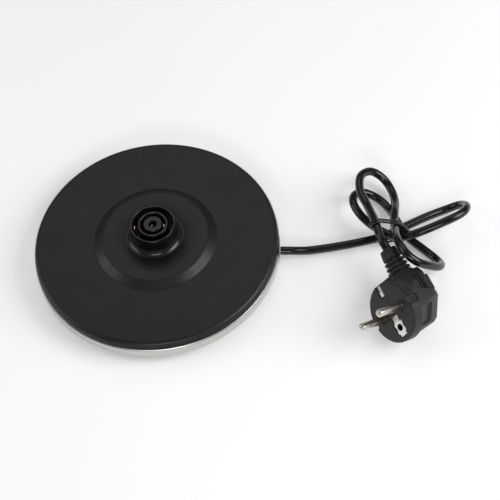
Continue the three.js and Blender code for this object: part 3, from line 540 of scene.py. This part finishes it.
def evenly(points, count):
    """A closed outline as evenly spaced points."""
    loop = [*points, points[0]]
    lengths = [0.0]
    for a, b in zip(loop, loop[1:]):
        lengths.append(lengths[-1] + (b - a).length)
    spaced = []
    index = 0
    for i in range(count):
        want = lengths[-1] * i / count
        while lengths[index + 1] < want:
            index += 1
        part = (want - lengths[index]) / (lengths[index + 1] - lengths[index])
        spaced.append(loop[index].lerp(loop[index + 1], part))
    return spaced


def clear_of_lead(point, reach):
    """The point, moved straight away from the lead's centreline if it is nearer than reach."""
    nearest = min(cord_line, key=lambda p: (p - point).length_squared)
    gap = point - nearest
    return nearest + gap.normalized() * reach if gap.length < reach else point


def make_tie():
    """Soft wire wrapped twice round the bundle, its ends crossed and tucked out."""
    across, outlines = strand_outlines(TIE_DIRECTION)
    ring = evenly(hull(outlines), TIE_TURN_POINTS)
    start = max(range(len(ring)), key=lambda i: ring[i].x - 0.6 * ring[i].y)
    ring = ring[start:] + ring[:start]
    whole = TIE_TURNS * len(ring)
    path = []
    for i in range(whole + 1):
        flat = ring[i % len(ring)]
        shift = (i / whole - 0.5) * TIE_PITCH * TIE_WIRE * TIE_TURNS
        path.append(TIE_CENTRE + across * flat.x + Vector((0, 0, flat.y)) + TIE_DIRECTION * shift)
    outward = (path[0] - TIE_CENTRE).normalized()
    path.insert(0, path[0] + outward * 0.003 + TIE_DIRECTION * 0.0015)
    path.append(path[-1] + outward * 0.0025 - TIE_DIRECTION * 0.002)
    reach = (CORD_DIAMETER * MM + TIE_WIRE) / 2 + 0.0001
    for _ in range(3):
        path = [clear_of_lead(point, reach) for point in path]
        inner = [(a + 2 * b + c) / 4 for a, b, c in zip(path, path[1:], path[2:])]
        path = [path[0], *inner, path[-1]]
    return wire_piece(
        "bundle_tie", curve_through(path, 2), TIE_WIRE / 2, tie_sleeve, resolution=4
    )


tie = make_tie()
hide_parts("cord_tie")

# ------------------------------------------------------------------ base

FINE = 240  # sides of the large turned pieces
EDGE = 0.35  # usual rounding of a moulded edge

# Millimetres. They follow the CAD, but the cover's groove is 0.05 deeper here.
OUTLET_HALF_WIDTH = 7
COVER_WALL = 2.2
COVER_EDGE_ROUND = 3
COVER_GROOVE_DEPTH = 0.85
PLATEAU_RISE = 3.5
PLATEAU_RADIUS = 33.3
PLATEAU_FOOT_RADIUS = 38.7
BOSS_RISE = 13
BOSS_RADIUS = 13.9
FLARE_RADIUS = 18.2
FLARE_HEIGHT = 5
SEAT_RADIUS = 18.5
SEAT_DEPTH = 0.3
NECK_RADIUS = 16.3
NECK_INNER = 14.3
COVER_HOLE = 16.6
INNER_RING = (9.3, 8.0)  # outside and inside
HUB_RADIUS = 5.7
EARTH_HOLE_RADIUS = 2.5
SLOT_DEPTH = 10
BOSS_WALL = 1
BAND_RADIUS = 77.6
BAND_THICKNESS = 0.8
BAND_SHOULDER = 1  # inward bevel of the band's top edge

# Contacts: inner face's radius, and degrees about the centre. The leaves are thinner
# than the CAD's 0.5.
LIVE_RADIUS = 11.1
LIVE_ANGLE = 187
NEUTRAL_RADIUS = 6.2
NEUTRAL_ANGLE = 5
EARTH_RADIUS = 0.4
EARTH_ANGLE = 150
CONTACT_WIDTH = 3.4
EARTH_CONTACT_WIDTH = 2.0
LEAF_THICKNESS = 0.35
LEAF_BEVEL = 0.08


def cosine(angle):
    return math.cos(math.radians(angle))


def sine(angle):
    return math.sin(math.radians(angle))


def base_cover():
    """Satin disc: raised plateau with the boss's seat, rounded rim, dark groove round its side."""
    low, high = corners("top_cover")
    rim, bottom, plateau = high.x, low.z, high.z
    top = plateau - PLATEAU_RISE
    underside = top - COVER_WALL
    arc = [
        (rim - COVER_EDGE_ROUND * (1 - cosine(a)), top - COVER_EDGE_ROUND * (1 - sine(a)))
        for a in range(0, 91, 10)
    ]
    inside = [
        (COVER_HOLE, plateau - COVER_WALL), (PLATEAU_RADIUS - 0.8, plateau - COVER_WALL),
        (PLATEAU_FOOT_RADIUS - 0.8, underside), (rim - COVER_WALL, underside),
        (rim - COVER_WALL, bottom),
    ]
    groove = rim - COVER_GROOVE_DEPTH
    side = rounded_run(
        [
            (rim - 1.2, bottom), (rim - 0.3, bottom), (rim - 0.3, bottom + 0.95),
            (groove, bottom + 1.05), (groove, bottom + 1.85), (rim - 0.1, bottom + 2.0),
            (rim - 0.1, bottom + 2.4),
        ],
        0.15,
    )
    slope = rounded_run(
        [(60, top), (PLATEAU_FOOT_RADIUS, top), (PLATEAU_RADIUS, plateau), (25, plateau)], 0.6, 4
    )
    seat = plateau - SEAT_DEPTH
    mouth = [
        (SEAT_RADIUS + 0.2, plateau), (SEAT_RADIUS, plateau - 0.1), (SEAT_RADIUS, seat),
        (COVER_HOLE + 0.2, seat), (COVER_HOLE, seat - 0.2),
    ]
    return add_piece(
        "base_cover",
        turned("base_cover", inside + side + arc + slope + mouth, FINE),
        satin_black,
        "satin_black_plastic",
        "top_cover",
        smooth_under=40,
    )


def steel_side_band():
    """Stainless band with a bevelled top edge, open at the outlet."""
    low, high = corners("trim_ring")
    bottom, top = low.z, high.z
    outer = BAND_RADIUS
    inner = outer - BAND_THICKNESS
    profile = softened(
        [
            (inner, bottom), (outer, bottom), (outer, top - BAND_SHOULDER),
            (outer - BAND_SHOULDER, top), (inner - BAND_SHOULDER, top), (inner, top - 1.4),
        ],
        0.22,
    )
    half_gap = math.degrees(math.asin(OUTLET_HALF_WIDTH / outer))
    mesh = turned("steel_side_band", profile, FINE, half_gap, 360 - half_gap)
    return add_piece(
        "steel_side_band", mesh, steel_band, "brushed_steel_band", "trim_ring", smooth_under=25
    )


def connector_boss():
    """Glossy flared boss with two ring slots, a centre hole, and a window under each contact."""
    low, high = corners("connector_housing")
    top, foot = high.z, low.z
    seat = top - BOSS_RISE
    floor = top - SLOT_DEPTH
    spread = FLARE_RADIUS - BOSS_RADIUS
    flare = [
        (FLARE_RADIUS - spread * sine(a), seat + FLARE_HEIGHT * (1 - cosine(a)))
        for a in range(8, 90, 8)
    ]
    slot_outer = BOSS_RADIUS - BOSS_WALL
    ring_outer, ring_inner = INNER_RING
    profile = softened(
        [
            (NECK_INNER, foot), (NECK_RADIUS, foot), (NECK_RADIUS, seat), (FLARE_RADIUS, seat),
            (FLARE_RADIUS, seat + 0.25), *flare, (BOSS_RADIUS, seat + 5.2), (BOSS_RADIUS, top),
            (slot_outer, top), (slot_outer, floor), (ring_outer, floor), (ring_outer, top),
            (ring_inner, top), (ring_inner, floor), (HUB_RADIUS, floor), (HUB_RADIUS, top),
            (EARTH_HOLE_RADIUS, top), (EARTH_HOLE_RADIUS, floor - 2), (NECK_INNER, floor - 2),
        ],
        EDGE,
    )
    mesh = turned("connector_boss", profile, 160)
    windows = []
    for radius, angle in ((LIVE_RADIUS, LIVE_ANGLE), (NEUTRAL_RADIUS, NEUTRAL_ANGLE)):
        tool = box_mesh((radius - 0.45, -2.0, floor - 3), (radius + 1.3, 2.0, floor + 0.4))
        windows.append(moved(tool, Matrix.Rotation(math.radians(angle), 4, "Z")))
    mesh = combined(mesh, windows, "DIFFERENCE")
    return add_piece(
        "connector_boss", mesh, gloss_black, "gloss_black_plastic", "connector_housing",
        smooth_under=32,
    )


def contact_leaf(name, radius, width, angle, material):
    """Bent strip of spring metal that bows toward the centre and curls back at its tip."""
    low, high = corners(f"{name}_contact")
    height = high.z - low.z
    bow = [  # share of the height, and shift outward
        (0.0, 0.0), (0.3, 0.0), (0.55, -0.02), (0.68, -0.12), (0.78, -0.3), (0.86, -0.32),
        (0.92, -0.15), (0.96, 0.1), (0.99, 0.3),
    ]
    thickness, bevel = LEAF_THICKNESS, LEAF_BEVEL
    sections = []
    for share, shift in bow:
        narrow = width / 2 * (1 - 0.35 * max(0.0, share - 0.8) / 0.2)
        x = radius + shift
        z = low.z + share * height
        sections.append(
            [
                (x, -narrow + bevel, z), (x + bevel, -narrow, z),
                (x + thickness - bevel, -narrow, z), (x + thickness, -narrow + bevel, z),
                (x + thickness, narrow - bevel, z), (x + thickness - bevel, narrow, z),
                (x + bevel, narrow, z), (x, narrow - bevel, z),
            ]
        )
    mesh = loft(f"{name}_leaf", sections)
    mesh.transform(Matrix.Rotation(math.radians(angle), 4, "Z"))
    mesh.shade_smooth()
    mesh.set_sharp_from_angle(angle=math.radians(40))
    mesh.materials.append(material)
    piece = bpy.data.objects.new(f"{name}_leaf", mesh)
    bpy.context.collection.objects.link(piece)
    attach(piece, f"{name}_contact")
    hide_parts(f"{name}_contact")


base_cover()
steel_side_band()
connector_boss()
contact_leaf("live", LIVE_RADIUS, CONTACT_WIDTH, LIVE_ANGLE, brass)
contact_leaf("neutral", NEUTRAL_RADIUS, CONTACT_WIDTH, NEUTRAL_ANGLE, brass)
contact_leaf("earth", EARTH_RADIUS, EARTH_CONTACT_WIDTH, EARTH_ANGLE, silvered)

# ------------------------------------------------------------------ plug

PLUG_PLACE = Vector((147, -54.4, 23.9)) * MM
PLUG_PINS = Vector((-0.711, -0.563, 0.421)).normalized()
PLUG_ACROSS = Vector((0.486, -0.826, -0.284)).cross(PLUG_PINS).normalized()
PLUG_EARTH = PLUG_PINS.cross(PLUG_ACROSS)
PLUG_FRAME = Matrix.Translation(PLUG_PLACE) @ Matrix(
    (PLUG_ACROSS, PLUG_EARTH, PLUG_PINS)
).transposed().to_4x4()
FACE_RADIUS = 18.7
DISC_DEPTH = 7.5
BODY_DEPTH = 29
LEAD_DEPTH = 22.6  # the lead's axis behind the plug's face
NECK_REACH = 17.5  # round back, just behind the disc
BACK_REACH = 14.3  # where its back edge begins
BACK_EDGE = 3  # length of that edge's bevel
BACK_BEVEL = 1.8
BACK_FLAT = 10.2  # half the body across its slanted flats, at its back
NECK_FLAT = 17.3  # and a millimetre inside the disc
FLAT_TILT = 17.5  # degrees between the slanted flats and the plug's axis
SHOULDER_END = -19.5  # along the earth direction, on the lead's side
SHOULDER_FRONT_HALF = 15
SHOULDER_BACK_HALF = 11
SHOULDER_END_HALF = 8.8
GRIP_HALF_WIDTH = 13.2
PIN_RADIUS = 2.4
PIN_OFFSET = 9.5
PIN_LENGTH = 19.0
EARTH_HOLE_OFFSET = 10
BEYOND = 40  # half-length of a tool that passes right through the body


def prism(outline, low, high, turn=None):
    """A flat outline drawn along Z between two heights, then turned."""
    sections = [[(x, y, z) for x, y in outline] for z in (low, high)]
    mesh = loft("prism", sections)
    if turn is not None:
        mesh.transform(turn)
    return mesh


def cylinder(radius, low, high, x=0.0, y=0.0, sides=96):
    mesh = turned_solid("cylinder", [(0, low), (radius, low), (radius, high), (0, high)], sides)
    return moved(mesh, Matrix.Translation((x * MM, y * MM, 0)))


def plug_shoulder():
    """The straight part of the body toward the lead, tapered in all three views."""
    wide, back, tip = SHOULDER_FRONT_HALF, SHOULDER_BACK_HALF, SHOULDER_END_HALF
    front = [
        (-tip, SHOULDER_END), (tip, SHOULDER_END), (wide - 1.5, -10), (wide, 0), (-wide, 0),
        (1.5 - wide, -10),
    ]
    end = [
        (back, -BODY_DEPTH), (wide, -DISC_DEPTH), (wide, -4), (-wide, -4), (-wide, -DISC_DEPTH),
        (-back, -BODY_DEPTH),
    ]
    side = [(4, 0), (5, SHOULDER_END), (BODY_DEPTH, SHOULDER_END), (BODY_DEPTH, 0)]
    from_front = prism(front, -BEYOND, BEYOND)
    from_end = prism(end, -BEYOND, BEYOND, Matrix.Rotation(math.radians(90), 4, "X"))
    from_side = prism(side, -BEYOND, BEYOND, Matrix.Rotation(math.radians(90), 4, "Y"))
    return combined(from_front, [outward(from_end), outward(from_side)], "INTERSECT")


def outward(mesh):
    """The mesh with all its faces turned outward."""
    work = bmesh.new()
    work.from_mesh(mesh)
    bmesh.ops.recalc_face_normals(work, faces=work.faces)
    work.to_mesh(mesh)
    work.free()
    return mesh


EARTH_PLATE = [
    (-2.5, 2.6), (2.5, 2.6), (2.5, 6.2), (4.0, 6.9), (4.0, 8.6), (3.4, 8.9), (3.4, 11.1),
    (4.0, 11.4), (4.0, 13.2), (2.9, 13.6), (2.9, 15.4), (-2.9, 15.4), (-2.9, 13.6), (-4.0, 13.2),
    (-4.0, 11.4), (-3.4, 11.1), (-3.4, 8.9), (-4.0, 8.6), (-4.0, 6.9), (-2.5, 6.2),
]


def plug_back():
    """Round back of the body, cut to four slanted flats."""
    start = -DISC_DEPTH + 1
    round_back = turned_solid(
        "back",
        [
            (0, -BODY_DEPTH), (BACK_REACH - BACK_BEVEL, -BODY_DEPTH),
            (BACK_REACH, -BODY_DEPTH + BACK_EDGE), (NECK_REACH, -DISC_DEPTH), (NECK_REACH, start),
            (0, start),
        ],
        96,
    )
    flats = loft(
        "flats",
        [
            [(0, -reach, z), (reach, 0, z), (0, reach, z), (-reach, 0, z)]
            for reach, z in (
                (BACK_FLAT * math.sqrt(2), -BODY_DEPTH), (NECK_FLAT * math.sqrt(2), start)
            )
        ],
    )
    return combined(outward(round_back), [outward(flats)], "INTERSECT")


def thumb_recess(azimuth):
    """Tool for the shallow slot across one flat, parallel to it, with slanted ends."""
    tool = loft(
        "thumb",
        [
            [(x, -w, -t), (x, w, -t), (x, w, t), (x, -w, t)]
            for x, w, t in ((-1.6, 5.4, 5.2), (0.0, 6.4, 6.2), (3.0, 6.4, 6.2))
        ],
    )
    tilt = Matrix.Rotation(math.radians(FLAT_TILT), 4, "Y")
    turn = Matrix.Rotation(math.radians(azimuth), 4, "Z")
    tool.transform(turn @ Matrix.Translation((14.6 * MM, 0, -15 * MM)) @ tilt)
    return tool


def plug_moulding():
    """Disc face, tapered back, shoulder and finger grip in one rounded moulding."""
    disc = turned_solid(
        "disc",
        [
            (0, -DISC_DEPTH), (FACE_RADIUS, -DISC_DEPTH), (FACE_RADIUS, -0.7),
            (FACE_RADIUS - 0.7, 0), (0, 0),
        ],
        160,
    )
    grip = box_mesh(
        (-GRIP_HALF_WIDTH, -12.5, -BODY_DEPTH), (GRIP_HALF_WIDTH, -2.5, -BODY_DEPTH + 5)
    )
    solid = combined(
        outward(disc), [outward(plug_back()), outward(plug_shoulder()), outward(grip)], "UNION"
    )
    cuts = [cylinder(2.6, -16, 1, 0, EARTH_HOLE_OFFSET), thumb_recess(45), thumb_recess(135)]
    for side in (-1, 1):
        cuts.append(cylinder(PIN_RADIUS + 0.22, -8, 1, side * PIN_OFFSET, 0))
        cuts.append(
            box_mesh(
                (side * FACE_RADIUS - 2.6, -2.7, -DISC_DEPTH - 1),
                (side * FACE_RADIUS + 2.6, 2.7, 1),
            )
        )
        for depth in (19.6, 22.2):
            cuts.append(
                box_mesh(
                    (side * 15 - 3.4, -16.5, -depth - 0.9), (side * 15 + 5.4, -3.5, -depth)
                )
            )
    cuts.append(prism([(x * 1.09, 9 + (y - 9) * 1.05) for x, y in EARTH_PLATE], -1.3, 1))
    cuts.append(box_mesh((-2.0, -20, -1.4), (2.0, -10.4, 1)))
    cuts.append(box_mesh((-2.0, -20, -4.2), (2.0, -16.6, 1)))
    solid = combined(solid, [outward(cut) for cut in cuts], "DIFFERENCE")
    mesh = worked(
        solid,
        ("REMESH", {"mode": "VOXEL", "voxel_size": 0.34 * MM}),
        ("SMOOTH", {"factor": 0.5, "iterations": 4}),
    )
    mesh.transform(PLUG_FRAME)
    return add_piece(
        "plug_moulding", mesh, plug_black, "matt_black_plug", "plug_body", smooth_under=180
    )


def rounded_square(half, height, corner=3.2, count=48):
    """A ring of points between a circle and a square, at a height along Z."""
    ring = []
    for i in range(count):
        angle = 2 * math.pi * i / count
        c, s = math.cos(angle), math.sin(angle)
        size = half / (abs(c) ** corner + abs(s) ** corner) ** (1 / corner)
        ring.append((size * c, size * s, height))
    return ring


def plug_relief():
    """Bend relief: a blunt collar at the lead's end, then slotted ribs down to the body."""
    length = 18.2
    base_half, tip_half = 6.9, 4.5
    root, collar = 1.2, 5.0  # plain lengths at the body and at the lead
    ribs = 4
    pitch = (length - collar - root) / ribs
    gap, gap_depth = 1.15, 1.25
    broken = 0.3  # how far each rib's edges are drawn in
    spans = [(0.0, root + gap * 0.1)]
    spans += [(root + i * pitch + gap, root + (i + 1) * pitch) for i in range(ribs - 1)]
    spans.append((root + (ribs - 1) * pitch + gap, length))
    rings = []
    for i, (start, end) in enumerate(spans):
        edges = ((start, broken), (start + 0.25, 0.0), (end - 0.25, 0.0), (end, broken))
        for z, inset in edges:
            half = base_half + (tip_half - base_half) * z / length - inset
            rings.append(rounded_square(half, z))
        if i < len(spans) - 1:
            for z in (end, spans[i + 1][0]):
                half = base_half + (tip_half - base_half) * z / length - gap_depth
                rings.append(rounded_square(half, z))
    mesh = outward(loft("plug_relief", rings))
    mesh.transform(Matrix.Rotation(math.radians(90), 4, "X"))
    mesh.transform(Matrix.Translation(Vector((0, SHOULDER_END - 0.3, -LEAD_DEPTH)) * MM))
    mesh.transform(PLUG_FRAME)
    return add_piece(
        "plug_relief", mesh, plug_black, "matt_black_plug", "plug_strain_relief", smooth_under=50
    )


def plug_pin(name, side):
    """Nickel-plated pin with a domed tip and a faint turned ring at its root."""
    radius, length, dome_height = PIN_RADIUS, PIN_LENGTH, 1.7
    dome = [
        (radius * cosine(a), length - dome_height * (1 - sine(a))) for a in range(0, 90, 9)
    ]
    profile = [
        (0, -7.7), (radius - 0.2, -7.7), (radius, -7.5), (radius, 0.35), (radius - 0.07, 0.5),
        (radius - 0.07, 0.8), (radius, 0.95), *dome, (0, length),
    ]
    mesh = outward(turned_solid(name, profile, 64))
    mesh.transform(Matrix.Translation((side * PIN_OFFSET * MM, 0, 0)))
    mesh.transform(PLUG_FRAME)
    node = "plug_pin_1" if side < 0 else "plug_pin_2"
    return add_piece(name, mesh, nickel, "nickel_plated_pin", node)


def earth_plate():
    """Stamped earth contact: a waisted plate round the earth hole, with its edges broken."""
    plate = outward(prism(EARTH_PLATE, -1.1, -0.35))
    hole = outward(cylinder(2.15, -2, 1, 0, EARTH_HOLE_OFFSET, 48))
    mesh = combined(plate, [hole], "DIFFERENCE")
    mesh = worked(
        mesh,
        ("BEVEL", {"width": 0.16 * MM, "segments": 2, "limit_method": "ANGLE"}),
    )
    mesh.transform(PLUG_FRAME)
    return add_piece(
        "earth_plate", mesh, silvered, "silvered_contact", "plug_earth_plate", smooth_under=30
    )


def side_clip():
    """Folded spring clip of the side earth contact, with a raised pad."""
    pad = loft(
        "side_clip",
        [
            [(x * half, y, z) for x, y in ((-1, back), (1, back), (1, front), (-1, front))]
            for half, back, front, z in (
                (1.7, -17.2, -10.7, -1.2), (1.7, -17.2, -10.7, -0.95), (1.6, -14.5, -10.8, -0.6),
                (1.2, -14.0, -11.2, -0.3),
            )
        ],
    )
    fold = box_mesh((-1.6, -17.6, -3.6), (1.6, -16.9, -0.95))
    mesh = combined(outward(pad), [outward(fold)], "UNION")
    mesh.transform(PLUG_FRAME)
    return add_piece(
        "side_clip", mesh, silvered, "silvered_contact", "plug_side_earth_clip", smooth_under=30
    )


plug_pieces = [
    plug_moulding(),
    plug_relief(),
    plug_pin("pin_lower", 1),
    plug_pin("pin_upper", -1),
    earth_plate(),
    side_clip(),
]

# ------------------------------------------------------------------ carried-over CAD nodes

CAD_MATERIALS = {
    "bottom_shell": matt_black,
    "rubber_foot": foot_rubber,
    "case_screw": zinc,
    "carrier_screw": zinc,
    "clamp_screw": zinc,
    "contact_carrier": matt_black,
    "cord_clamp": matt_black,
    "cord_grommet": grommet_black,
    "lead_inner_end": cord_sheath,
    "live_tab": brass,
    "neutral_tab": brass,
    "earth_tab": brass,
    "live_receptacle": silvered,
    "neutral_receptacle": silvered,
    "earth_receptacle": silvered,
    "live_wire": brown_core,
    "neutral_wire": blue_core,
    "earth_wire": earth_core,
}

for node_name, node_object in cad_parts.items():
    for start, chosen in CAD_MATERIALS.items():
        if node_name.startswith(start):
            for material_slot in node_object.material_slots:
                material_slot.material = chosen
            node_object.data.shade_smooth()
            node_object.data.set_sharp_from_angle(angle=math.radians(30))

# ------------------------------------------------------------------ studio


def pale_floor():
    """Seamless pale sheet under the object."""
    shader = Shader("pale_sheet")
    tone = shader.noise(4, detail=2)
    shader.set(
        Base_Color=shader.mixed(shader.mapped(tone, 0, 1), (0.9, 0.9, 0.9), (0.93, 0.93, 0.93)),
        Roughness=0.9,
        Specular_IOR_Level=0.1,
        Emission_Color=(1, 1, 1, 1),
        Emission_Strength=0.27,
    )
    reach = 4000
    outline = [(-reach, -reach, 0), (reach, -reach, 0), (reach, reach, 0), (-reach, reach, 0)]
    mesh = mesh_from("floor", outline, [(0, 1, 2, 3)])
    mesh.materials.append(shader.material)
    floor = bpy.data.objects.new("floor", mesh)
    floor.location.z = -0.0002
    bpy.context.collection.objects.link(floor)


def softbox(name, place, aim, width, height, power):
    data = bpy.data.lights.new(name, "AREA")
    data.shape = "RECTANGLE"
    data.size = width
    data.size_y = height
    data.energy = power
    lamp = bpy.data.objects.new(name, data)
    lamp.location = place
    lamp.rotation_euler = (Vector(aim) - Vector(place)).to_track_quat("-Z", "Y").to_euler()
    bpy.context.collection.objects.link(lamp)


def room_light(strength):
    world = bpy.data.worlds.new("studio")
    world.use_nodes = True
    background = world.node_tree.nodes["Background"]
    background.inputs["Color"].default_value = (1, 1, 1, 1)
    background.inputs["Strength"].default_value = strength
    bpy.context.scene.world = world


bpy.context.scene.view_settings.view_transform = "Standard"
pale_floor()
room_light(0.16)
softbox("right_side", (0.95, -0.1, 0.75), (0.05, 0, 0), 0.7, 0.8, 8)
softbox("left_side", (-0.95, -0.05, 0.6), (0.05, 0, 0), 0.7, 0.7, 2.6)
softbox("back", (-0.1, 0.75, 1.1), (0.05, 0, 0), 1.1, 0.8, 1.9)
softbox("front_low", (0.1, -1.0, 0.65), (0.05, 0, 0), 0.6, 0.22, 2.8)
